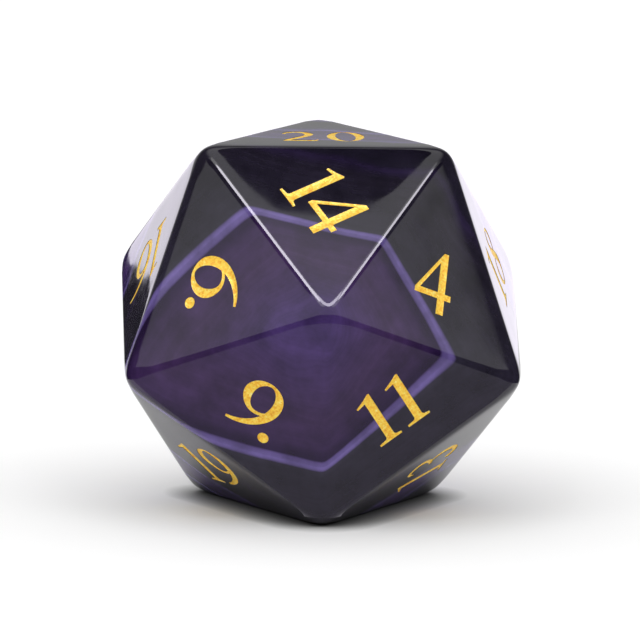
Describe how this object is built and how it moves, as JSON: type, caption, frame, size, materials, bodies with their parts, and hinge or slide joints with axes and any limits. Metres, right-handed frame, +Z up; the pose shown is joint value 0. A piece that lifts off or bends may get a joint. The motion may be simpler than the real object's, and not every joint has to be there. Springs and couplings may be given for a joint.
{
  "type": "twenty-sided polyhedral die",
  "caption": "Twenty-sided gaming die of polished banded stone, with engraved serif numbers on every face, each filled with gold paint.",
  "frame": {"origin": "centre of face 1, on which the die rests", "axes": "+Z up out of face 20; -Y towards the corner shared by faces 14, 4, 11, 9 and 6, the front; +X to the front's right"},
  "size_m": [0.0214, 0.0244, 0.02],
  "materials": {
    "agate": "high polish, dark violet with pale lilac bands",
    "gold_paint": "fine-grained metallic gold paint, semi-gloss"
  },
  "bodies": {
    "root": {"stone_body": "agate", "paint_1": "gold_paint", "paint_2": "gold_paint", "paint_3": "gold_paint", "paint_4": "gold_paint", "paint_5": "gold_paint", "paint_6": "gold_paint", "paint_6_dot": "gold_paint", "paint_7": "gold_paint", "paint_8": "gold_paint", "paint_9": "gold_paint", "paint_9_dot": "gold_paint", "paint_10_tens": "gold_paint", "paint_10_units": "gold_paint", "paint_11_tens": "gold_paint", "paint_11_units": "gold_paint", "paint_12_tens": "gold_paint", "paint_12_units": "gold_paint", "paint_13_tens": "gold_paint", "paint_13_units": "gold_paint", "paint_14_tens": "gold_paint", "paint_14_units": "gold_paint", "paint_15_tens": "gold_paint", "paint_15_units": "gold_paint", "paint_16_tens": "gold_paint", "paint_16_units": "gold_paint", "paint_17_tens": "gold_paint", "paint_17_units": "gold_paint", "paint_18_tens": "gold_paint", "paint_18_units": "gold_paint", "paint_19_tens": "gold_paint", "paint_19_units": "gold_paint", "paint_20_tens": "gold_paint", "paint_20_units": "gold_paint"}
  },
  "joints": []
}
